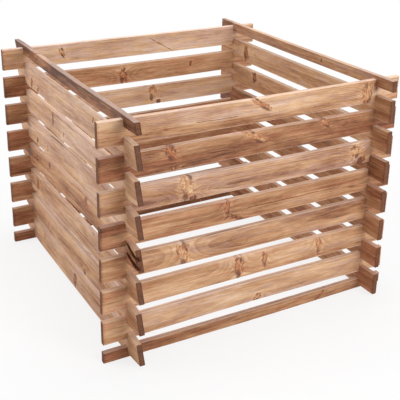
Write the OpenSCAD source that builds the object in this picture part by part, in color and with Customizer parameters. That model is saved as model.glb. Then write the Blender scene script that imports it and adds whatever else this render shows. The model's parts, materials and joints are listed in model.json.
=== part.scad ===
// Slot-together garden composter of pine boards. Notched boards cross at the four corners and lock
// each other by their own weight, so the bin needs no screws and comes apart board by board.
// X runs along the front wall, Y runs from front to back, Z is up, and Z = 0 is the ground.

/* [Boards] */
// Length of every board
board_len = 1000; // [700:10:1400]
// Height of a full board
board_h = 72; // [60:1:100]
// Height of a half board, ripped from a full one
half_board_h = 35; // [28:1:50]
// Thickness of every board
board_t = 16; // [12:0.5:25]
// Radius that eases the four long edges of a board
arris_r = 1.5; // [0.5:0.25:4]

/* [Walls] */
// Full boards in each wall
full_boards = 7; // [2:1:9]
// Open gap between two boards of one wall
board_gap = 26; // [12:1:40]
// Board end that stands out past the wall that it crosses
overhang = 73; // [40:1:120]

/* [Notches] */
// Side play of a crossing board in its notch, on each side
notch_play = 0.5; // [0.2:0.1:2]

/* [Hidden] */
$fn = 48;
WALLS = ["left", "right", "front", "back"];

pitch = board_h + board_gap;            // height from one board of a wall to the next
lap = (board_h - board_gap) / 2;        // height over which two crossing boards overlap
notch_d = lap / 2;                      // each of the two crossing boards gives up half of the lap
notch_w = board_t + 2 * notch_play;
seat = board_len / 2 - overhang - board_t / 2;  // from a board's middle to the middle of its notch
cut_over = 1;                           // how far a notch cutter runs past the faces that it leaves

// The front and back walls stand on the ground on their half boards. The side walls sit in the
// notches of those, half a pitch off, and end at the top in half boards of their own.
end_wall_z = half_board_h + board_gap;
side_wall_z = half_board_h - lap;

pine = [0.74, 0.56, 0.42];
pale_pine = [0.80, 0.64, 0.51];

function board_name(wall, i) = str(wall, "_board_", i);
function half_name(wall) = str(wall, "_half_board");
function is_side(wall) = wall == "left" || wall == "right";

// Cross-section of a board: thickness along X, height h along Y, with eased corners
module board_section(h) {
    translate([-board_t / 2, arris_r]) square([board_t, h - 2 * arris_r]);
    translate([arris_r - board_t / 2, 0]) square([board_t - 2 * arris_r, h]);
    for (side = [-1, 1], z = [arris_r, h - arris_r])
        translate([side * (board_t / 2 - arris_r), z]) circle(r = arris_r);
}

// Plain board of height h along X, centred on its length, with its lower edge at Z = 0
module board_blank(h) {
    rotate([90, 0, 90])
        translate([0, 0, -board_len / 2])
            linear_extrude(height = board_len) board_section(h);
}

// The pair of cutters for the notches near both ends, from height z up or down by the notch depth
module notch_pair(z_low, z_high) {
    for (side = [-1, 1])
        translate([side * seat - notch_w / 2, -board_t / 2 - cut_over, z_low])
            cube([notch_w, board_t + 2 * cut_over, z_high - z_low]);
}

module top_notches(h) {
    notch_pair(h - notch_d, h + cut_over);
}

module bottom_notches() {
    notch_pair(-cut_over, notch_d);
}

// Full board: notched in both edges, so it locks with the board below and the board above
module full_board() {
    difference() {
        board_blank(board_h);
        top_notches(board_h);
        bottom_notches();
    }
}

// Half board at the foot of the front and back walls: flat on the ground, notched above
module foot_half_board() {
    difference() {
        board_blank(half_board_h);
        top_notches(half_board_h);
    }
}

// Half board that caps a side wall: notched below, plain above
module cap_half_board() {
    difference() {
        board_blank(half_board_h);
        bottom_notches();
    }
}

// Turns and moves a board from along X at the middle of the bin to its own wall
module in_wall(wall, z) {
    away = wall == "left" || wall == "front" ? -seat : seat;
    if (is_side(wall))
        translate([away, 0, z]) rotate([0, 0, 90]) children();
    else
        translate([0, away, z]) children();
}

// Full board number i of a wall, counted from the ground
module wall_board(wall, i) {
    z = (is_side(wall) ? side_wall_z : end_wall_z) + (i - 1) * pitch;
    color(is_side(wall) ? pale_pine : pine) in_wall(wall, z) full_board();
}

// The half board of a wall: a cap on the side walls, a foot under the front and back walls
module wall_half_board(wall) {
    color(is_side(wall) ? pale_pine : pine)
        if (is_side(wall))
            in_wall(wall, side_wall_z + full_boards * pitch) cap_half_board();
        else
            in_wall(wall, 0) foot_half_board();
}

for (wall = WALLS) {
    for (i = [1 : full_boards])
        wall_board(wall, i);
    wall_half_board(wall);
}
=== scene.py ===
# %% [markdown]
# # A slot-together garden composter
# This bin is a stack of planed pine boards. Boards of neighbouring walls cross at the corners,
# and each has a notch for the other, so weight alone holds the bin together.
# The CAD model fixes every size and every joint. The lesson dresses it: each board is made again
# with a slight bow, worn edges, a few cracks and a grain of its own. It then rides on the body of
# the board that it covers, so the bin still comes apart course by course.

import json
import math
import random

import bpy
from mathutils import Matrix, Vector

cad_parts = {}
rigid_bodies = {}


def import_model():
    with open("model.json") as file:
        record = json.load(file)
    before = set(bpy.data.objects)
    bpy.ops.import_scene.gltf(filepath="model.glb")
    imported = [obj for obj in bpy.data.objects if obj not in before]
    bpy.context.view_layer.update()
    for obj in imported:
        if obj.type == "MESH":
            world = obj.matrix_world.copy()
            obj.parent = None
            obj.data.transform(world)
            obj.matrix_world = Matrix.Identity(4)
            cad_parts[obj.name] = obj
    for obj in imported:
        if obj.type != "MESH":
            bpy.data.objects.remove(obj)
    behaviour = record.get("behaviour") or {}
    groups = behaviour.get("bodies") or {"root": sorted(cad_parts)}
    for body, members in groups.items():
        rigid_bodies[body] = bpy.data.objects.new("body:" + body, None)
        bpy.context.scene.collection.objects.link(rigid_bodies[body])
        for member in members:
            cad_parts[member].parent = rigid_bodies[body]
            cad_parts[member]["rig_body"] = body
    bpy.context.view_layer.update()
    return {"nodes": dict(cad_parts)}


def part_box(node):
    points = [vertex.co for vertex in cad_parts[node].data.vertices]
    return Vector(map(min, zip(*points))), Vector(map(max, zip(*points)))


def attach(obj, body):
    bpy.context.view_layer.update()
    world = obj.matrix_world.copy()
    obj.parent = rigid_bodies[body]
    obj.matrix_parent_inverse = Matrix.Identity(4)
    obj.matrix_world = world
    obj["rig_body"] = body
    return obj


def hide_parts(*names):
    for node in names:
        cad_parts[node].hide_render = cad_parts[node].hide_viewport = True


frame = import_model()

# %% [markdown]
# ## Node trees written as sums
# Both the boards and their wood are node trees. Adding every Math node by hand hides the idea,
# so a small class wraps a socket and lets Python's own signs add the nodes. `1 - mask` then reads
# as it would on paper. Other nodes come from `Tree.add`, which sets a node's settings first
# and then the values or links of its sockets.

# %% Wire and Tree
class Wire:
    """An output socket that can stand in a Python sum."""

    def __init__(self, tree, socket):
        self.tree = tree
        self.socket = socket

    def math(self, operation, *others):
        return self.tree.math(operation, self, *others)

    def __add__(self, other):
        return self.tree.math("ADD", self, other)

    def __radd__(self, other):
        return self.tree.math("ADD", other, self)

    def __sub__(self, other):
        return self.tree.math("SUBTRACT", self, other)

    def __rsub__(self, other):
        return self.tree.math("SUBTRACT", other, self)

    def __mul__(self, other):
        return self.tree.math("MULTIPLY", self, other)

    def __rmul__(self, other):
        return self.tree.math("MULTIPLY", other, self)

    def __truediv__(self, other):
        return self.tree.math("DIVIDE", self, other)

    def __pow__(self, other):
        return self.tree.math("POWER", self, other)

    def __abs__(self):
        return self.tree.math("ABSOLUTE", self)

    def __gt__(self, other):
        return self.tree.math("GREATER_THAN", self, other)

    def __lt__(self, other):
        return self.tree.math("LESS_THAN", self, other)


class Tree:
    """A node tree, with short ways to add its nodes."""

    def __init__(self, node_tree):
        self.tree = node_tree

    def add(self, kind, settings=None, inputs=None, output=0):
        """Adds a node and gives one of its outputs, or the node itself if it has none."""
        node = self.tree.nodes.new(kind)
        for name, value in (settings or {}).items():
            if name == "stops":
                self.set_stops(node.color_ramp, value)
            else:
                setattr(node, name, value)
        for name, value in (inputs or {}).items():
            if isinstance(value, Wire):
                self.tree.links.new(value.socket, node.inputs[name])
            else:
                node.inputs[name].default_value = value
        return Wire(self, node.outputs[output]) if len(node.outputs) else node

    def set_stops(self, ramp, stops):
        while len(ramp.elements) < len(stops):
            ramp.elements.new(0.5)
        for element, (place, colour) in zip(ramp.elements, stops):
            element.position = place
            element.color = colour

    def math(self, operation, *terms):
        return self.add("ShaderNodeMath", {"operation": operation}, dict(enumerate(terms)))

    def split(self, vector):
        """The three parts of a vector, each as a wire."""
        node = self.add("ShaderNodeSeparateXYZ", None, {"Vector": vector}).socket.node
        return [Wire(self, socket) for socket in node.outputs]

    def join(self, x, y, z):
        return self.add("ShaderNodeCombineXYZ", None, {"X": x, "Y": y, "Z": z})

    def noise(self, vector, seed, detail=2.0, roughness=0.5):
        """Noise from about -0.25 to 0.25, one cell to a unit of the vector."""
        inputs = {"Vector": vector, "W": seed, "Scale": 1.0, "Detail": detail, "Roughness": roughness}
        return self.add("ShaderNodeTexNoise", {"noise_dimensions": "4D"}, inputs) - 0.5

    def step(self, value, low, high):
        """0 below low, 1 above high, and a soft rise between them."""
        inputs = {"Value": value, "From Min": low, "From Max": high}
        return self.add("ShaderNodeMapRange", {"interpolation_type": "SMOOTHSTEP"}, inputs)


print("Wires and trees are ready")

# %% [markdown]
# ## The camera
# The photograph was taken from the left and above with a moderately long lens. The camera could be
# moved by eye until the outlines agree, but a fit of the board corners finds the one place from
# which boards also cover each other as they do in the photograph. A small downward shift keeps
# the upright lines nearly upright.

# %% Camera
CAMERA_PLACE = Vector((-1.21665, -2.23852, 1.39215))
AZIMUTH = -0.51101
ELEVATION = 0.35332
ROLL = 0.01619
LENS_MM = 73.0
SENSOR_MM = 36.0
SHIFT_DOWN = -0.15

back = Vector((
    math.sin(AZIMUTH) * math.cos(ELEVATION),
    -math.cos(AZIMUTH) * math.cos(ELEVATION),
    math.sin(ELEVATION),
))
right = (-back).cross(Vector((0, 0, 1))).normalized()
up = right.cross(-back)
turned_right = math.cos(ROLL) * right + math.sin(ROLL) * up
turned_up = -math.sin(ROLL) * right + math.cos(ROLL) * up

camera = bpy.data.objects.new("camera", bpy.data.cameras.new("camera"))
camera.data.lens = LENS_MM
camera.data.sensor_width = SENSOR_MM
camera.data.shift_y = SHIFT_DOWN
axes = Matrix((turned_right, turned_up, back)).transposed().to_4x4()
camera.matrix_world = Matrix.Translation(CAMERA_PLACE) @ axes
bpy.context.scene.collection.objects.link(camera)
bpy.context.scene.camera = camera
print("Camera looks down by", round(math.degrees(ELEVATION), 1), "degrees")

# %% [markdown]
# ## What each board is like
# No two boards of the real bin match: some are pale and straight, others russet with knots and
# arched grain. Chance alone would put the knots in the wrong places, so what the photograph shows
# of a board is written down here. The shade runs from 0, the palest board, to 1, the darkest.
# Lengths are in millimetres, and places are as seen from outside the bin: along the board from its
# middle, and up from its middle line.

# %% Board characters
# For each wall, from the ground up: shade, then hue from 0 (grey) through 0.5 (golden) to 1 (red).
CHARACTERS = {
    "front": ((0.66, 0.60), (0.39, 0.32), (0.42, 0.50), (0.51, 0.38), (0.59, 0.56), (0.44, 0.18),
              (0.62, 0.60), (0.41, 0.32)),
    "left": ((0.47, 0.35), (0.40, 0.31), (0.41, 0.22), (0.48, 0.55), (0.40, 0.22), (0.35, 0.2),
             (0.35, 0.2), (0.85, 0.60)),
    "back": ((0.60, 0.6), (0.52, 0.6), (0.36, 0.6), (0.41, 0.6), (0.46, 0.6), (0.27, 0.32),
             (0.47, 0.56), (0.12, 0.06)),
    "right": ((0.36, 0.6), (0.39, 0.7), (0.47, 0.5), (0.51, 0.6), (0.58, 0.6), (0.25, 0.42),
              (0.33, 0.42), (0.43, 0.2)),
}
# How much darker the ends of a board are than its middle, where that isn't the usual amount. This is
# stain soaked into the ends together with painted shade on ends that stand in the bin's shaded
# corners. Where it is below zero the ends are lightened, as painted light.
USUAL_END_STAIN_AND_SHADE = 0.06
END_STAINS_AND_SHADES = {
    ("back", 3): 0.04, ("back", 4): 0.04, ("back", 5): 0.38, ("back", 6): 0.13, ("back", 7): 0.18,
    ("right", 5): 0.18, ("right", 6): 0.22, ("right", 7): 0.24, ("right", 8): 0.25,
    ("front", 0): -0.06, ("front", 1): -0.02, ("front", 2): 0.0, ("front", 7): -0.06,
}
# A knot is: place along the board, height, radius, height to width, lean, paleness.
# A board without an entry gets its knots by chance.
KNOTS = {
    ("front", 7): ((-8, 19, 15, 1.2, -1.6, 0.65), (378, -8, 19, 1.5, 0.15, 0.75),
                   (414, 20, 10, 1.4, 0, 0.4)),
    ("front", 6): ((-290, 17, 17, 1.1, -0.4, 0.4), (-24, 21, 17, 1.1, -1.4, 0.72),
                   (226, 24, 12, 1.2, -1.1, 0.5), (-280, -32, 6, 1.2, 0, 0.4)),
    ("front", 5): ((-238, 6, 18, 1.6, -0.1, 0.95), (-220, -31, 12, 0.6, 0.4, 0.0),
                   (352, 8, 17, 1.0, 0.3, 0.85), (374, -26, 15, 0.7, 0.7, 0.0)),
    ("front", 4): ((-106, 12, 8, 2.6, 0.1, 0.5), (-74, -24, 11, 1.1, -2.0, 0.1)),
    ("front", 3): ((-252, -2, 20, 1.6, -0.4, 0.85),),
    ("front", 2): ((-58, 3, 17, 1.7, -0.2, 0.58), (32, 5, 9, 2.4, 0.1, 0.5),
                   (236, 8, 11, 1.9, -0.2, 0.7), (-66, 28, 9, 0.8, 0.3, 0.25)),
    ("front", 1): ((12, -25, 12, 0.9, 0.6, 0.75),),
    ("front", 0): ((254, 2, 6, 2.6, 1.3, 0.2),),
    ("left", 7): ((-335, -18, 10, 1.3, 0.3, 0.3), (-270, -22, 7, 1.1, 0.2, 0.2),
                  (210, 18, 5, 1.6, 0.4, 0.4)),
    ("left", 6): ((-146, 8, 5, 3.4, -0.2, 0.05), (-46, -12, 5, 1.4, 0.2, 0.4)),
    ("left", 5): ((-304, -21, 8, 1.4, 0.6, 0.05), (-195, -12, 6, 1.3, 0.2, 0.4)),
    ("left", 4): ((131, 21, 11, 1.1, 0.3, 0.25), (-200, 21, 9, 1.1, 0.3, 0.2),
                  (-330, 8, 8, 1.5, 0.3, 0.1)),
    ("left", 3): ((-335, 2, 12, 1.6, -0.3, 0.25), (290, -14, 11, 1.6, 0.4, 0.4)),
    ("left", 2): ((115, -22, 9, 1.0, 0.2, 0.2), (-227, -17, 8, 1.1, 0.2, 0.4)),
    ("left", 1): ((15, -6, 14, 1.4, 0.2, 0.15), (-290, 12, 6, 1.4, 0, 0.3)),
    ("back", 7): ((-94, -4, 3, 8.0, 1.7, 0.2), (290, 6, 8, 1.8, 0.5, 0.7)),
    ("back", 6): ((60, -3, 15, 1.7, 0.2, 0.5), (-220, 10, 6, 1.3, 0, 0.3)),
    ("back", 5): ((-61, 12, 15, 1.5, 0.2, 0.9), (-84, -30, 11, 0.7, 0.6, 0.0)),
    ("right", 7): ((315, 1, 14, 1.6, 0.2, 0.35),),
    ("right", 6): ((250, 16, 13, 1.3, 0.3, 0.35),),
    ("right", 8): ((-154, 1, 4, 1.6, 0.2, 0.2),),
}
# A crack is: start, end and height on the outer face.
CRACKS = {
    ("front", 7): (-214, -84, -6),
    ("front", 4): (-36, 282, -1),
    ("left", 3): (44, 210, -3),
    ("left", 6): (-120, 40, 27),
    ("right", 5): (-300, -120, 6),
    ("back", 4): (60, 250, -12),
}
# The rise of a board at mid length, where the photograph shows uneven gaps.
BOWS = {
    ("left", 1): 1.5, ("left", 2): 1.5, ("left", 3): -2.5, ("left", 4): 9.0,
    ("left", 5): 5.5, ("left", 6): -1.5, ("left", 7): -2.0, ("left", 8): -6.8,
}
# Where the pith, the centre of the growth rings, lies: behind the middle of the board, and above it.
LOGS = {
    ("front", 6): (-30, -32), ("front", 7): (-44, -38), ("front", 3): (34, 4), ("back", 5): (-36, 50),
    ("left", 1): (46, -44), ("left", 6): (52, -30), ("left", 7): (58, -36), ("left", 5): (54, 10),
}
print("Boards with chosen knots:", len(KNOTS))

# %% [markdown]
# ## The wood
# Planed pine shows the log it came from. A picture of wood wrapped round each board would break
# at the edges, and every board would look alike. So one procedural material makes the wood from
# the inside: growth rings first, then knots, then fibres, streaks and the brown impregnation.
# Every value that differs from board to board comes from an attribute on the mesh, so the one
# material serves the whole bin.

# %% What the board says about itself
pine = bpy.data.materials.new("impregnated_pine")
pine.use_nodes = True
pine.node_tree.nodes.clear()
wood = Tree(pine.node_tree)


def trait(name):
    """A vector that the board carries, as three wires."""
    found = wood.add("ShaderNodeAttribute", {"attribute_name": name}, None, "Vector")
    return wood.split(found)


x, y, z = trait("grain")
seed, shade, hue = trait("nature")
depth, rise, tilt = trait("log")
half_long, half_thick, half_high = trait("half_size")
end_grain = wood.add("ShaderNodeAttribute", {"attribute_name": "end_grain"}, None, "Fac")
# Torn faces in cut recesses: painted shade together with the colour of torn wood
torn = wood.add("ShaderNodeAttribute", {"attribute_name": "torn"}, None, "Fac")
# Stain soaked into the ends, together with painted shade on ends in the bin's shaded corners
end_stain = wood.add("ShaderNodeAttribute", {"attribute_name": "end_stain"}, None, "Fac")
print("Nodes that read the board's traits:", len(pine.node_tree.nodes))

# %% [markdown]
# ### Growth rings
# The rings of a log run round its pith. The shader works out how far each point of the board lies
# from that line and cuts the distance into rings, so faces, edges and end grain agree, as they do
# on a sawn board. A stripe pattern would be simpler, but it can't show arches on a face and arcs on
# an end at once. Round a knot the distance is swollen, which bends the rings into an eye.

# %% Growth rings round the pith, swollen round knots
RING_WIDTH = 0.0046
KNOT_SLOTS = (1, 2, 3, 4)

wander = wood.noise(wood.join(x * 2.4, y * 10, z * 14), seed)
ripple = wood.noise(wood.join(x * 14, y * 30, z * 60), seed + 2.0)
across = y - depth - tilt * x
upwards = z - rise + wander * 0.012
radius = (across ** 2.0 + upwards ** 2.0) ** 0.5 + wander * 0.010 + ripple * 0.0034
heart = 1 - wood.step(radius + ripple * 0.012, 0.034, 0.050)
for slot in KNOT_SLOTS:
    along, height, size = trait(f"knot_{slot}")
    stretch, lean, paleness = trait(f"knot_form_{slot}")
    aside = (x - along - lean * (z - height)) / size
    above = (z - height) / (stretch * size)
    near = (aside ** 2.0 + above ** 2.0) ** 0.5
    flow = (aside * 0.42) ** 2.0 + above ** 2.0
    radius = radius + (flow * -0.5).math("EXPONENT") * size * 0.9
    # Of two knots that are close to each other, the nearer one gives a point its look.
    if slot == 1:
        nearest, beside, over, pale, side = near, aside, above, paleness, lean
    else:
        closer = near < nearest
        beside = beside + (aside - beside) * closer
        over = over + (above - over) * closer
        pale = pale + (paleness - pale) * closer
        side = side + (lean - side) * closer
        nearest = nearest.math("MINIMUM", near)

rings = radius / RING_WIDTH
share = rings.math("FRACT")
late_wood = share ** 1.6 * (1 - wood.step(share, 0.74, 1.0))
which_ring = rings.math("FLOOR") + seed * 7.1
ring_tone = wood.add("ShaderNodeTexWhiteNoise", {"noise_dimensions": "1D"}, {"W": which_ring}) - 0.5
print("Growth rings are", RING_WIDTH * 1000, "mm wide")

# %% [markdown]
# ### Knots
# A knot is a branch that the saw has crossed. A clean disc looks stuck on, so noise frays its rim,
# rays run out from its middle, and smudges of torn dark grain lie above and below it. Each
# knot has its own paleness, because some are hard and dark and others almost as pale as the board.

# %% Knots, frayed and streaked
lump = wood.noise(wood.join(x * 62, y * 24, z * 48), seed + 1.0, detail=3.0)
shred = wood.noise(wood.join(x * 210, y * 60, z * 90), seed + 6.0, detail=2.0, roughness=0.6)
frayed = nearest + lump * 2.0 + shred * 1.1
knot_core = 1 - wood.step(frayed, 0.80, 1.25)
knot_rim = wood.step(frayed, 0.62, 0.92) * (1 - wood.step(frayed, 1.0, 1.4))
knot_halo = (1 - wood.step(frayed, 0.9, 2.7)) * (1 - knot_core)
flip = side.math("SIGN")
foot_gap = ((beside - flip * 0.6) ** 2.0 + (over + 0.95) ** 2.0) ** 0.5 + lump * 1.8
head_gap = ((beside + flip * 0.7) ** 2.0 + (over - 0.90) ** 2.0) ** 0.5 + lump * 1.8
smudge = 1 - wood.step(foot_gap.math("MINIMUM", head_gap + 0.2), 0.20, 0.75)
turn_round = over.math("ARCTAN2", beside)
rays = (turn_round * 5 + lump * 18 + nearest * 2).math("SINE")
rim_shadow = knot_rim * wood.step(lump, -0.06, 0.06)
knot_tone = 0.16 + pale * 0.72 + rays * 0.12 + shred * 1.6 - rim_shadow * 0.42
print("Nodes with rings and knots:", len(pine.node_tree.nodes))

# %% [markdown]
# ### Fibres, streaks and stain
# Impregnation soaks in unevenly: it follows the fibres in long streaks and gathers in mottles and
# clouds. The ends are darker, partly from stain that soaks deeper into them and partly as painted
# shade where they stand in the bin's shaded corners; on a few front boards they are lightened as
# painted light. Each pattern is a noise stretched along the board by its own amount, as one noise
# of a single size would look like cloth. Masks for edges, tips and end grain are measured from the
# board's own size.

# %% Fibres, streaks, mottles and hairlines
fibre = wood.noise(wood.join(x * 15, y * 420, z * 420), seed, detail=3.0, roughness=0.6)
streak = wood.noise(wood.join(x * 2.2, y * 60, z * 95), seed + 3.3, detail=4.0, roughness=0.58)
mottle = wood.noise(wood.join(x * 21, y * 60, z * 110), seed + 17.0, detail=4.0, roughness=0.7)
cloud = wood.noise(wood.join(x * 4.5, y * 12, z * 24), seed + 9.7, detail=2.0, roughness=0.4)
hue_drift = wood.noise(wood.join(x * 3.2, y * 20, z * 52), seed + 5.1, detail=3.0)
hue_mottle = wood.noise(wood.join(x * 20, y * 60, z * 130), seed + 25.0, detail=2.0)
fleck_noise = wood.noise(wood.join(x * 70, y * 260, z * 330), seed + 12.0, detail=1.0)
flecks = wood.step(fleck_noise, 0.08, 0.20) * wood.step(cloud, -0.06, 0.10)
hairline_noise = abs(wood.noise(wood.join(x * 1.8, y * 20, z * 46), seed + 14.2, detail=1.0))
hairline_place = wood.step(wood.noise(wood.join(x * 5.0, y * 3, z * 14), seed + 21.4), 0.07, 0.16)
hairlines = (1 - wood.step(hairline_noise, 0.003, 0.012)) * hairline_place
saw_place = wood.step(wood.noise(wood.join(x * 5, y * 2, z * 6), seed + 31.0), 0.02, 0.14)
saw_marks = (x * 2850 + wander * 40).math("SINE") * saw_place
print("Nodes with fibres and stain:", len(pine.node_tree.nodes))

# %% Masks for edges, tips and end grain
EDGE_START = -0.0030
EDGE_FULL = -0.0008

edge_y = wood.step(abs(y) - half_thick, EDGE_START, EDGE_FULL)
edge_z = wood.step(abs(z) - half_high, EDGE_START, EDGE_FULL)
# The long edges, which get a painted highlight together with wear
long_edge = edge_z * (1 - end_grain)
arris = edge_y * long_edge
tip = wood.step(abs(x) - half_long, -0.008, -0.001) * (1 - end_grain)
# Painted shade at the board ends, together with the stain that soaks deeper into them
stained_shaded_ends = wood.step(abs(x) - half_long + mottle * 0.02, -0.096, -0.066) * (1 - end_grain)
end_rim = 1 - wood.step(half_thick - abs(y), 0.0012, 0.0034)
print("Nodes with the masks:", len(pine.node_tree.nodes))

# %% [markdown]
# ### From darkness to colour
# All these patterns add up to one number, the darkness, with a weight for each. Three ramps turn it
# into golden, greyed and reddish wood, and a second number mixes them in patches. Mixing colours
# pattern by pattern would soon turn muddy, while a ramp keeps every tone a real tone of pine. Knots,
# torn faces, hairline checks and the pale long edges are laid on last. The long edges are paled as
# a painted highlight together with wear, and the torn faces in cut recesses are darkened as painted
# shade together with the colour of torn wood.

# %% Colours of impregnated pine
def tint(red, green, blue):
    """A screen colour, 0 to 255, as the linear colour that a shader needs."""
    def linear(value):
        share = value / 255
        return share / 12.92 if share <= 0.04045 else ((share + 0.055) / 1.055) ** 2.4
    return (linear(red), linear(green), linear(blue), 1.0)


GOLDEN = [(0.00, tint(238, 208, 174)), (0.25, tint(218, 178, 138)), (0.50, tint(190, 144, 104)),
          (0.75, tint(146, 97, 64)), (1.00, tint(82, 50, 35))]
GREY = [(0.00, tint(236, 208, 190)), (0.25, tint(211, 175, 152)), (0.50, tint(180, 137, 112)),
        (0.75, tint(135, 93, 73)), (1.00, tint(78, 51, 42))]
RED = [(0.00, tint(236, 198, 172)), (0.25, tint(214, 164, 134)), (0.50, tint(184, 126, 92)),
       (0.75, tint(142, 86, 57)), (1.00, tint(80, 44, 32))]
KNOT = [(0.00, tint(78, 47, 36)), (0.30, tint(148, 84, 54)), (0.55, tint(184, 119, 78)),
        (0.80, tint(206, 161, 118)), (1.00, tint(228, 194, 154))]
print("Colours in a ramp:", len(GOLDEN))

# %% Colour of the wood
darkness = (
    shade
    + (late_wood - 0.24) * (0.15 + knot_halo * 0.16)
    + ring_tone * 0.09
    + streak * 0.46
    + mottle * 0.60
    + fibre * 0.50
    + cloud * 0.74
    + heart * 0.13
    + flecks * 0.10
    # painted shade at the ends, together with soaked-in stain
    + stained_shaded_ends * end_stain
    + tip * 0.12
    # painted highlight on the long edges and arrises, together with wear
    - long_edge * 0.07
    - arris * 0.08
    - knot_halo * pale * 0.10
    + knot_halo * rays * 0.07
)
end_darkness = 0.84 + fibre * 0.4 + late_wood * 0.22 + lump * 0.18 + end_rim * 0.08
darkness = darkness + (end_darkness - darkness) * end_grain


def ramp(stops, amount):
    return wood.add("ShaderNodeValToRGB", {"stops": stops}, {"Fac": amount})


def mix(factor, first, second):
    """A Mix node for colours: inputs 6 and 7 are its two colours, and output 2 is the result."""
    settings = {"data_type": "RGBA", "blend_type": "MIX"}
    return wood.add("ShaderNodeMix", settings, {0: factor, 6: first, 7: second}, 2)


# The ends turn warmer with their stain and painted shade.
lean_of_hue = hue + hue_drift * 1.4 + hue_mottle * 1.6 + stained_shaded_ends * 0.22 + heart * 0.12 + knot_halo * 0.12
grey_share = 1 - wood.step(lean_of_hue, 0.05, 0.50)
red_share = wood.step(lean_of_hue, 0.52, 1.02)
golden = ramp(GOLDEN, darkness)
greyed = mix(grey_share, golden, ramp(GREY, darkness))
toned = mix(red_share, greyed, ramp(RED, darkness))
# Painted highlight on the long edges, together with wear: they are mixed towards a pale pink.
highlit_worn_edges = mix(long_edge * 0.34, toned, tint(226, 204, 192))
knotted = mix(knot_core * 0.92, highlit_worn_edges, ramp(KNOT, knot_tone))
smudged = mix(smudge * 0.80, knotted, tint(98, 58, 40))
hairlined = mix(hairlines * 0.60, smudged, tint(92, 58, 42))
# Painted shade in the cut recesses of split ends and cracks, together with the colour of torn wood.
colour = mix(torn * 0.85, hairlined, tint(104, 62, 44))
print("Nodes with the colour:", len(pine.node_tree.nodes))

# %% [markdown]
# ### Sheen and relief
# Dry impregnated pine is matt. Late wood and knots are a little smoother than the soft early wood,
# and the saw leaves faint ripples in places. The relief is under a millimetre, so a bump is enough
# for it, while the shapes that catch the eye are cut in the mesh further on.

# %% Sheen and relief of the wood
roughness = 0.64 - late_wood * 0.10 - knot_core * 0.12 + end_grain * 0.22 + torn * 0.2 + fibre * 0.2
relief = (
    late_wood * 0.35
    + fibre * 1.0
    + streak * 0.5
    + mottle * 0.6
    + saw_marks * 0.06
    + knot_core * 0.4
    + shred * knot_core * 1.5
    - smudge * 0.8
    - hairlines * 2.0
)
bump = wood.add("ShaderNodeBump", None, {"Strength": 0.6, "Distance": 0.0007, "Height": relief})
surface = wood.add("ShaderNodeBsdfPrincipled", None, {
    "Base Color": colour,
    "Roughness": roughness,
    "Normal": bump,
    "Specular IOR Level": 0.3,
})
wood.add("ShaderNodeOutputMaterial", None, {"Surface": surface})
print("Wood nodes:", len(pine.node_tree.nodes))

# %% [markdown]
# ## One tree cuts every board
# A board could be modelled once and stretched, but stretching would spoil its notches and rounded
# edges. A Geometry Nodes tree follows the joiner's order instead: round the section, run it
# along the length, let it bow, then saw the notches. Each size is a named input, so the same
# tree makes full boards, feet and caps.

# %% Inputs of the board tree
board_group = bpy.data.node_groups.new("Notched board", "GeometryNodeTree")
board_group.is_modifier = True
INPUTS = [
    ("Length", "NodeSocketFloat"), ("Height", "NodeSocketFloat"), ("Thickness", "NodeSocketFloat"),
    ("Arris", "NodeSocketFloat"), ("Seat", "NodeSocketFloat"), ("Notch Width", "NodeSocketFloat"),
    ("Notch Depth", "NodeSocketFloat"), ("Top Notches", "NodeSocketBool"),
    ("Bottom Notches", "NodeSocketBool"), ("Bow Up", "NodeSocketFloat"),
    ("Bow Out", "NodeSocketFloat"), ("Skew", "NodeSocketFloat"), ("Cant", "NodeSocketFloat"),
    ("Crack", "NodeSocketVector"), ("Splits", "NodeSocketInt"), ("Split Size", "NodeSocketVector"),
    ("Split Height", "NodeSocketFloat"), ("Split Slope", "NodeSocketFloat"),
    ("Split Taper", "NodeSocketFloat"),
    ("Seed", "NodeSocketFloat"), ("Place", "NodeSocketVector"),
    ("Turn", "NodeSocketFloat"), ("Nature", "NodeSocketVector"), ("Log", "NodeSocketVector"),
    ("End Stain And Shade", "NodeSocketFloat"), ("Wood", "NodeSocketMaterial"),
]
for slot in KNOT_SLOTS:
    INPUTS.append((f"Knot {slot}", "NodeSocketVector"))
    INPUTS.append((f"Knot Form {slot}", "NodeSocketVector"))
SOCKET = {}
for name, kind in INPUTS:
    made = board_group.interface.new_socket(name=name, in_out="INPUT", socket_type=kind)
    SOCKET[name] = made.identifier
board_group.interface.new_socket(name="Geometry", in_out="OUTPUT", socket_type="NodeSocketGeometry")
board = Tree(board_group)
entry = board_group.nodes.new("NodeGroupInput")
given = {name: Wire(board, entry.outputs[name]) for name, _ in INPUTS}
print("Board tree inputs:", len(SOCKET))

# %% [markdown]
# ### The blank
# Planed boards have slightly rounded long edges. A rectangle with filleted corners is swept along
# a straight line, with a ring of points every few millimetres, so that the board can bend later.

# %% Blank of the board
STATIONS = 161
ARRIS_STEPS = 4

half_length = given["Length"] * 0.5
spine = board.add("GeometryNodeCurvePrimitiveLine", {"mode": "POINTS"}, {
    "Start": board.join(half_length * -1, 0, 0),
    "End": board.join(half_length, 0, 0),
})
stations = board.add("GeometryNodeResampleCurve", None, {"Curve": spine, "Count": STATIONS})
section = board.add("GeometryNodeCurvePrimitiveQuadrilateral", {"mode": "RECTANGLE"}, {
    "Width": given["Thickness"],
    "Height": given["Height"],
})
eased = board.add("GeometryNodeFilletCurve", {"mode": "POLY"}, {
    "Curve": section,
    "Count": ARRIS_STEPS,
    "Radius": given["Arris"],
})
blank = board.add("GeometryNodeCurveToMesh", None, {
    "Curve": stations,
    "Profile Curve": eased,
    "Fill Caps": True,
})
print("Rings of points along a board:", STATIONS)

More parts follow.
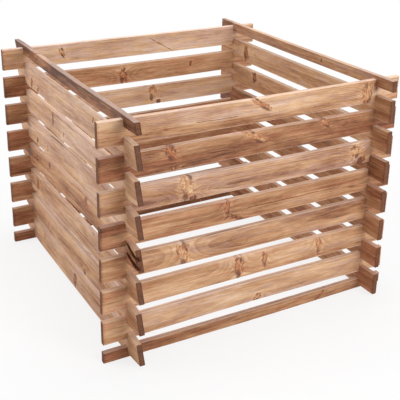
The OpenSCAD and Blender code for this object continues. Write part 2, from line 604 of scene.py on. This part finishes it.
# %% [markdown]
# ### Bow and wear
# Thin boards bow as they dry, and the gaps of the left wall show it. The board may rise, sag or
# lean only between its notches, because there its neighbours hold it. Noise takes a little wood
# off the arrises, so that highlights break up along them. A Bend modifier would be quicker to set
# up, but it would move the notches out of their joints.

# %% Bow and worn edges
WEAR_DEPTH = 0.0009

place = board.add("GeometryNodeInputPosition")
px, py, pz = board.split(place)
reach = px / given["Seat"]
arch = (1 - reach * reach).math("MAXIMUM", 0.0) ** 1.4
long_noise = board.noise(board.join(px * 9, 0, 0), given["Seed"], detail=1.0)
edge_noise = board.noise(board.join(px * 38, py * 90, pz * 40), given["Seed"], detail=3.0)
wear = board.step(edge_noise, -0.04, 0.22) * WEAR_DEPTH
on_edge = (
    (abs(py) > given["Thickness"] * 0.5 - given["Arris"] * 0.9)
    * (abs(pz) > given["Height"] * 0.5 - given["Arris"] * 0.9)
)
inwards_y = py.math("SIGN") * wear * on_edge * -1
inwards_z = pz.math("SIGN") * wear * on_edge * -1
between = 1 - abs(reach) ** 6.0
bend_y = given["Bow Out"] * arch * (1 + long_noise * 0.5)
bend_z = given["Bow Up"] * arch * (1 + given["Skew"] * reach)
cant = given["Cant"] * between
bowed = board.add("GeometryNodeSetPosition", None, {
    "Geometry": blank,
    "Offset": board.join(0, bend_y + cant * pz + inwards_y, bend_z + inwards_z),
})
print("Nodes with the bow:", len(board_group.nodes))

# %% [markdown]
# ### Notches
# The notches are what holds the bin together, so they are real cuts. A cutter stands at each of
# the four notch places, and two switches leave out the lower pair on a foot or the upper pair on a
# cap. Modelling the notched outline by hand would do for one board, but not for three kinds.

# %% Notches
corners = board.add("GeometryNodeMeshGrid", None, {
    "Size X": given["Seat"] * 2,
    "Size Y": given["Height"],
    "Vertices X": 2,
    "Vertices Y": 2,
})
upright = board.add("GeometryNodeTransform", None, {
    "Geometry": corners,
    "Rotation": (math.pi / 2, 0, 0),
})
cutter = board.add("GeometryNodeMeshCube", None, {
    "Size": board.join(given["Notch Width"], given["Thickness"] * 3, given["Notch Depth"] * 2),
})
at_top = (pz > 0) * given["Top Notches"]
at_bottom = (pz < 0) * given["Bottom Notches"]
saws = board.add("GeometryNodeInstanceOnPoints", None, {
    "Points": upright,
    "Selection": at_top + at_bottom,
    "Instance": cutter,
})
notches = board.add("GeometryNodeRealizeInstances", None, {"Geometry": saws})
print("Nodes with the notches:", len(board_group.nodes))

# %% [markdown]
# ### Cracks and split ends
# Some boards have drying cracks, and one has an end split into slivers. Drawn lines would vanish
# from the side, so a thin wavering blade cuts each crack, and ragged wedges cut the ends. One exact
# Boolean takes them away together with the notches.

# %% A blade for the crack
CRACK_DEPTH = 0.012
CRACK_WIDTH = 0.0013
CRACK_WAVER = 0.007
CRACK_POINTS = 41

outer = given["Thickness"] * -0.5
start, end, crack_height = board.split(given["Crack"])
seam = board.add("GeometryNodeCurvePrimitiveLine", {"mode": "POINTS"}, {
    "Start": board.join(start, outer, crack_height),
    "End": board.join(end, outer, crack_height),
})
seam_points = board.add("GeometryNodeResampleCurve", None, {"Curve": seam, "Count": CRACK_POINTS})
waver = board.noise(board.join(px * 24, 0, 0), given["Seed"] + 4.0, detail=4.0) * CRACK_WAVER
wavering = board.add("GeometryNodeSetPosition", None, {
    "Geometry": seam_points,
    "Offset": board.join(0, bend_y, bend_z + waver),
})
along_seam = (px - start) / (end - start)
opening = (along_seam * math.pi).math("SINE").math("MAXIMUM", 0.02)
upright_seam = board.add("GeometryNodeSetCurveNormal", {"mode": "Z_UP"}, {"Curve": wavering})
tapered = board.add("GeometryNodeSetCurveRadius", None, {"Curve": upright_seam, "Radius": opening})
blade = board.add("GeometryNodeCurvePrimitiveQuadrilateral", {"mode": "RECTANGLE"}, {
    "Width": CRACK_DEPTH,
    "Height": CRACK_WIDTH,
})
crack = board.add("GeometryNodeCurveToMesh", None, {
    "Curve": tapered,
    "Profile Curve": blade,
    "Fill Caps": True,
})
is_cracked = (end - start) > 0.001
crack_or_none = board.add("GeometryNodeSwitch", {"input_type": "GEOMETRY"}, {
    "Switch": is_cracked,
    "True": crack,
})
print("Nodes with the crack:", len(board_group.nodes))

# %% Wedges for the split ends
WEDGE_DROP = (0.0, 0.0, -0.030)

split_length, _, split_open = board.split(given["Split Size"])
block = board.add("GeometryNodeMeshCube", None, {
    "Size": given["Split Size"],
    "Vertices X": 16,
    "Vertices Y": 6,
    "Vertices Z": 2,
})
inner_share = 0.5 - px / split_length
ragged = board.noise(board.join(px * 60, py * 160, pz * 30), given["Seed"] + 9.0, detail=3.0)
floor_wave = board.noise(board.join(px * 90, 3.0, pz * 120), given["Seed"] + 12.0, detail=2.0)
wedge = board.add("GeometryNodeSetPosition", None, {
    "Geometry": block,
    "Offset": board.join(
        0,
        floor_wave * split_open * 0.5,
        pz * inner_share * given["Split Taper"] * -1 + ragged * split_open * 0.5,
    ),
})
leaning = board.add("GeometryNodeTransform", None, {
    "Geometry": wedge,
    "Rotation": board.join(0, given["Split Slope"], 0),
})
row = board.add("GeometryNodeMeshLine", {"mode": "OFFSET"}, {
    "Count": given["Splits"],
    "Start Location": board.join(half_length - split_length * 0.46, outer, given["Split Height"]),
    "Offset": WEDGE_DROP,
})
wedges = board.add("GeometryNodeInstanceOnPoints", None, {"Points": row, "Instance": leaning})
splits = board.add("GeometryNodeRealizeInstances", None, {"Geometry": wedges})
print("Nodes with the wedges:", len(board_group.nodes))

# %% Saw everything out of the blank
# Join Geometry takes all its links on one socket, which Tree.add doesn't do.
cutters = board.tree.nodes.new("GeometryNodeJoinGeometry")
for part in (splits, crack_or_none, notches):
    board.tree.links.new(part.socket, cutters.inputs[0])
notched = board.add("GeometryNodeMeshBoolean", {"operation": "DIFFERENCE", "solver": "EXACT"}, {
    "Mesh 1": bowed,
    "Mesh 2": Wire(board, cutters.outputs[0]),
})
print("Nodes with the cuts:", len(board_group.nodes))

# %% [markdown]
# ### What the board tells its wood
# The material needs to know where it is in the log, which way the surface faces and whether it
# was planed or torn. A torn face lies in a cut recess and is darkened as painted shade as well as
# given the colour of torn wood. The tree stores this on the mesh. The bow is taken off the stored
# place first, so that the grain bends with the board, where Object coordinates would run straight on.

# %% What the board tells its wood
normal = board.add("GeometryNodeInputNormal")
facing_along, _, _ = board.split(normal)


def carry(geometry, name, kind, domain, value):
    """The geometry with a value stored on it, for the material to read by its name."""
    settings = {"data_type": kind, "domain": domain}
    inputs = {"Geometry": geometry, "Name": name, "Value": value}
    return board.add("GeometryNodeStoreNamedAttribute", settings, inputs)


END_FACING = 0.8
CUT_FACE_INSET = 0.0017

is_end = abs(facing_along) > END_FACING
flat_z = pz - bend_z
flat_y = py - bend_y - cant * flat_z
inside_y = given["Thickness"] * 0.5 - abs(flat_y) > CUT_FACE_INSET
inside_z = given["Height"] * 0.5 - abs(flat_z) > CUT_FACE_INSET
in_notch = (abs(abs(px) - given["Seat"]) < given["Notch Width"] * 0.6) * (
    abs(pz) > given["Height"] * 0.5 - given["Notch Depth"] * 1.3
)
# Faces inside the cuts of split ends and cracks, which get painted shade and the colour of torn wood
is_torn_and_shaded = inside_y * inside_z * (1 - is_end) * (1 - in_notch)
marked = carry(notched, "end_grain", "FLOAT", "FACE", is_end)
marked = carry(marked, "torn", "FLOAT", "FACE", is_torn_and_shaded)
marked = carry(marked, "grain", "FLOAT_VECTOR", "POINT", board.join(px, flat_y, flat_z))
half_size = board.join(half_length, given["Thickness"] * 0.5, given["Height"] * 0.5)
marked = carry(marked, "half_size", "FLOAT_VECTOR", "POINT", half_size)
marked = carry(marked, "nature", "FLOAT_VECTOR", "POINT", given["Nature"])
marked = carry(marked, "log", "FLOAT_VECTOR", "POINT", given["Log"])
# Stain and painted shade at the ends of this board
marked = carry(marked, "end_stain", "FLOAT", "POINT", given["End Stain And Shade"])
for slot in KNOT_SLOTS:
    form = given[f"Knot Form {slot}"]
    marked = carry(marked, f"knot_{slot}", "FLOAT_VECTOR", "POINT", given[f"Knot {slot}"])
    marked = carry(marked, f"knot_form_{slot}", "FLOAT_VECTOR", "POINT", form)
print("Nodes with the attributes:", len(board_group.nodes))

# %% Into its wall
in_wall = board.add("GeometryNodeTransform", None, {
    "Geometry": marked,
    "Translation": given["Place"],
    "Rotation": board.join(0, 0, given["Turn"]),
})
crisp = board.add("GeometryNodeSetShadeSmooth", {"domain": "FACE"}, {
    "Geometry": in_wall,
    "Shade Smooth": False,
})
real = board.add("GeometryNodeRealizeInstances", None, {"Geometry": crisp})
dressed = board.add("GeometryNodeSetMaterial", None, {"Geometry": real, "Material": given["Wood"]})
board.add("NodeGroupOutput", None, {"Geometry": dressed})
print("Board tree nodes:", len(board_group.nodes))

# %% [markdown]
# ## Thirty-two boards
# Sizes and places come from the CAD nodes' own boxes, so nothing is fitted by eye. What the
# photograph doesn't show of a board is thrown by dice. They are seeded with the board's own name,
# so every run gives the same bin, and a change to one board leaves the others as they are.

# %% Names of the boards
TURNS = {"front": 0.0, "back": math.pi, "left": -math.pi / 2, "right": math.pi / 2}
LENGTHWISE = ("front", "back")
FOOT = 0
CAP = 8


def node_names():
    """Wall, course and node name of each board, every wall from the ground up."""
    for wall in TURNS:
        half = f"{wall}_half_board"
        if wall in LENGTHWISE:
            yield wall, FOOT, half
        for course in range(FOOT + 1, CAP):
            yield wall, course, f"{wall}_board_{course}"
        if wall not in LENGTHWISE:
            yield wall, CAP, half


print("Boards to make:", len(list(node_names())))

# %% Knots and ends by chance
NO_KNOT = (0, 5000, 1, 1.0, 0.0, 0.0)
BROKEN_BOARD = ("left", 4)
BROKEN_END = {
    "Splits": 2,
    "Split Size": [0.072, 0.024, 0.023],
    "Split Height": 0.015,
    "Split Slope": 0.33,
    "Split Taper": 0.5,
}


def grown_knot(dice):
    """One knot by chance, in the form of the table of knots."""
    along, height = dice.uniform(-390, 390), dice.uniform(-24, 24)
    stretch, lean = dice.uniform(1.0, 3.2), dice.uniform(-0.6, 0.6)
    return along, height, dice.uniform(2.5, 8), stretch, lean, dice.uniform(0, 0.8)


def knots_of(board_key, dice):
    """A knot for every slot of a board, the unused ones far away."""
    knots = list(KNOTS.get(board_key, ()))
    if not knots:
        knots = [grown_knot(dice) for _ in range(dice.choice((1, 2, 2, 3)))]
    return knots + [NO_KNOT] * (len(KNOT_SLOTS) - len(knots))


def end_of(board_key, board_height, dice):
    """The split end of a board, mostly a small check or none at all."""
    checked_end = {
        "Splits": dice.choice((0, 1)),
        "Split Size": [dice.uniform(0.02, 0.05), 0.05, dice.uniform(0.0012, 0.0024)],
        "Split Height": dice.uniform(-0.3, 0.3) * board_height,
        "Split Slope": dice.uniform(-0.06, 0.06),
        "Split Taper": 0.96,
    }
    return BROKEN_END if board_key == BROKEN_BOARD else checked_end


print("Knots that a board can carry:", len(KNOT_SLOTS))

# %% Everything that a board is told
NOTCH_DEPTH = 0.0115
NOTCH_WIDTH = 0.017
ARRIS = 0.0015
LEFT_CANT = 0.075
BOW_LIMIT_MM = 2.6
crossing_low, crossing_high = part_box("right_board_1")
seat = (crossing_low.x + crossing_high.x) / 2


def board_inputs(wall, course, size, middle, dice):
    """The values of the board tree's inputs for one board."""
    board_key = (wall, course)
    lengthwise = wall in LENGTHWISE
    shade_of_board, hue_of_board = CHARACTERS[wall][course if lengthwise else course - 1]
    knots = knots_of(board_key, dice)
    chance_bow = 0 if course in (FOOT, CAP) else dice.uniform(-BOW_LIMIT_MM, BOW_LIMIT_MM)
    chance_pith = (dice.choice((-1, 1)) * dice.uniform(20, 52), dice.uniform(-24, 24))
    pith_depth, pith_rise = LOGS.get(board_key, chance_pith)
    values = {
        **end_of(board_key, size.z, dice),
        "Length": size.x if lengthwise else size.y,
        "Height": size.z,
        "Thickness": size.y if lengthwise else size.x,
        "Arris": ARRIS,
        "Seat": seat,
        "Notch Width": NOTCH_WIDTH,
        "Notch Depth": NOTCH_DEPTH,
        "Top Notches": course < CAP,
        "Bottom Notches": course > FOOT,
        "Bow Up": BOWS.get(board_key, chance_bow) / 1000,
        "Bow Out": dice.uniform(-0.004, 0.004),
        "Skew": 1.0 if board_key == BROKEN_BOARD else dice.uniform(-0.3, 0.3),
        "Cant": LEFT_CANT if wall == "left" else dice.uniform(-0.015, 0.015),
        "Crack": [part / 1000 for part in CRACKS.get(board_key, (0, 0, 0))],
        "Seed": dice.uniform(0, 50),
        "Place": list(middle),
        "Turn": TURNS[wall],
        "Nature": [dice.uniform(0, 60), shade_of_board, hue_of_board],
        "Log": [pith_depth / 1000, pith_rise / 1000, dice.uniform(-0.035, 0.035)],
        # How much darker the ends are: stain together with painted shade, or painted light below zero
        "End Stain And Shade": END_STAINS_AND_SHADES.get(board_key, USUAL_END_STAIN_AND_SHADE),
        "Wood": pine,
    }
    for slot, (along, height, knot_size, *form) in zip(KNOT_SLOTS, knots):
        values[f"Knot {slot}"] = [along / 1000, height / 1000, knot_size / 1000]
        values[f"Knot Form {slot}"] = [float(part) for part in form]
    return values


print("Notches stand", round(seat * 1000, 1), "mm from the middle of a board")

# %% [markdown]
# ### From tree to plain board
# A body of the CAD model carries plain meshes, and a live modifier on each board would be worked
# out again at every redraw. So a holder lends its modifier for a moment: the tree is evaluated and
# its result kept. The board then rides on the body of the CAD board that it stands for.

# %% Make the boards
def plain_board(node, values):
    """The board tree's result for one board, as an object without a modifier."""
    holder = bpy.data.objects.new("holder", bpy.data.meshes.new("holder"))
    bpy.context.scene.collection.objects.link(holder)
    modifier = holder.modifiers.new("Notched board", "NODES")
    modifier.node_group = board_group
    for name, value in values.items():
        modifier[SOCKET[name]] = value
    graph = bpy.context.evaluated_depsgraph_get()
    mesh = bpy.data.meshes.new_from_object(holder.evaluated_get(graph))
    bpy.data.objects.remove(holder)
    mesh.name = f"pine_{node}"
    piece = bpy.data.objects.new(f"pine_{node}", mesh)
    bpy.context.scene.collection.objects.link(piece)
    return piece


triangles = 0
for wall, course, node in node_names():
    low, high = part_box(node)
    dice = random.Random(f"{wall} {course}")
    values = board_inputs(wall, course, high - low, (low + high) / 2, dice)
    piece = plain_board(node, values)
    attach(piece, frame["nodes"][node]["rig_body"])
    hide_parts(node)
    triangles += sum(len(face.vertices) - 2 for face in piece.data.polygons)
print("Boards made:", len(frame["nodes"]), "with", triangles, "triangles")

# %% [markdown]
# ## Floor and light
# A pale floor catches the bin's shadow. Seen by the camera it is lifted towards white, and the
# world behind it is white, so the picture has a clean background with no extra light on the wood.
# Raising the lamps until the floor turned white would be simpler, but would bleach the boards.

# %% Rays that see the background
def seen_directly(tree):
    """1 for rays that come from the camera, straight or by way of a gloss or a clear thing."""
    rays = tree.add("ShaderNodeLightPath").socket.node.outputs
    camera_ray = Wire(tree, rays["Is Camera Ray"])
    glossy_ray = Wire(tree, rays["Is Glossy Ray"])
    clear_ray = Wire(tree, rays["Is Transmission Ray"])
    return (camera_ray + glossy_ray + clear_ray).math("MINIMUM", 1.0)


print("Rays that see the background: camera, glossy and transmission")

# %% Floor
FLOOR_REACH = 60
WHITE = (1.0, 1.0, 1.0, 1.0)
PALE = (0.82, 0.81, 0.82, 1.0)
LIFT_NEAR = 0.80
LIFT_REST = 0.20
SHADOW_NEAR = 0.65
SHADOW_FAR = 1.9

floor_corners = [(a * FLOOR_REACH, b * FLOOR_REACH, 0) for a, b in ((-1, -1), (1, -1), (1, 1), (-1, 1))]
floor_mesh = bpy.data.meshes.new("floor")
floor_mesh.from_pydata(floor_corners, [], [(0, 1, 2, 3)])
floor = bpy.data.objects.new("floor", floor_mesh)
bpy.context.scene.collection.objects.link(floor)
paper = bpy.data.materials.new("pale_floor")
paper.use_nodes = True
paper.node_tree.nodes.clear()
ground = Tree(paper.node_tree)
matt = ground.add("ShaderNodeBsdfDiffuse", None, {"Color": PALE})
glow = ground.add("ShaderNodeEmission", None, {"Color": WHITE, "Strength": 1.0})
spot = ground.add("ShaderNodeTexCoord", None, None, "Object")
distance = ground.add("ShaderNodeVectorMath", {"operation": "LENGTH"}, {0: spot}, "Value")
lift = seen_directly(ground) * (LIFT_NEAR + LIFT_REST * ground.step(distance, SHADOW_NEAR, SHADOW_FAR))
floor_mix = ground.add("ShaderNodeMixShader", None, {0: lift, 1: matt, 2: glow})
ground.add("ShaderNodeOutputMaterial", None, {"Surface": floor_mix})
floor_mesh.materials.append(paper)
print("Floor is", 2 * FLOOR_REACH, "m wide")

# %% World
WORLD_LIGHT = 0.46

world = bpy.data.worlds.new("studio")
bpy.context.scene.world = world
world.use_nodes = True
world.node_tree.nodes.clear()
sky = Tree(world.node_tree)
dim = sky.add("ShaderNodeBackground", None, {"Color": WHITE, "Strength": WORLD_LIGHT})
bright = sky.add("ShaderNodeBackground", None, {"Color": WHITE, "Strength": 1.0})
sky_mix = sky.add("ShaderNodeMixShader", None, {0: seen_directly(sky), 1: dim, 2: bright})
sky.add("ShaderNodeOutputWorld", None, {"Surface": sky_mix})
print("Light of the world:", WORLD_LIGHT)

# %% [markdown]
# ### Lamps
# The light is that of a plain studio: one wide lamp overhead, one at the front right and one at
# the left and a little behind, which leaves the inner corners in shade. Small lamps would cut hard
# stripes of shadow through the gaps, so these are large.

# %% Lamps
def softbox(name, place, target, size, power):
    """A square lamp at a place, turned towards its target."""
    lamp = bpy.data.lights.new(name, "AREA")
    lamp.shape = "SQUARE"
    lamp.size = size
    lamp.energy = power
    thing = bpy.data.objects.new(name, lamp)
    thing.location = place
    thing.rotation_euler = (Vector(target) - Vector(place)).to_track_quat("-Z", "Y").to_euler()
    bpy.context.scene.collection.objects.link(thing)


softbox("overhead", (0.3, 0.3, 3.4), (0, 0, 0.4), 2.4, 65)
softbox("front_right", (1.0, -3.3, 1.9), (0, -0.3, 0.4), 1.5, 62)
softbox("left", (-2.9, 1.3, 1.5), (-0.3, 0, 0.4), 1.5, 36)

bpy.context.scene.view_settings.view_transform = "Standard"
print("Lamps are lit")
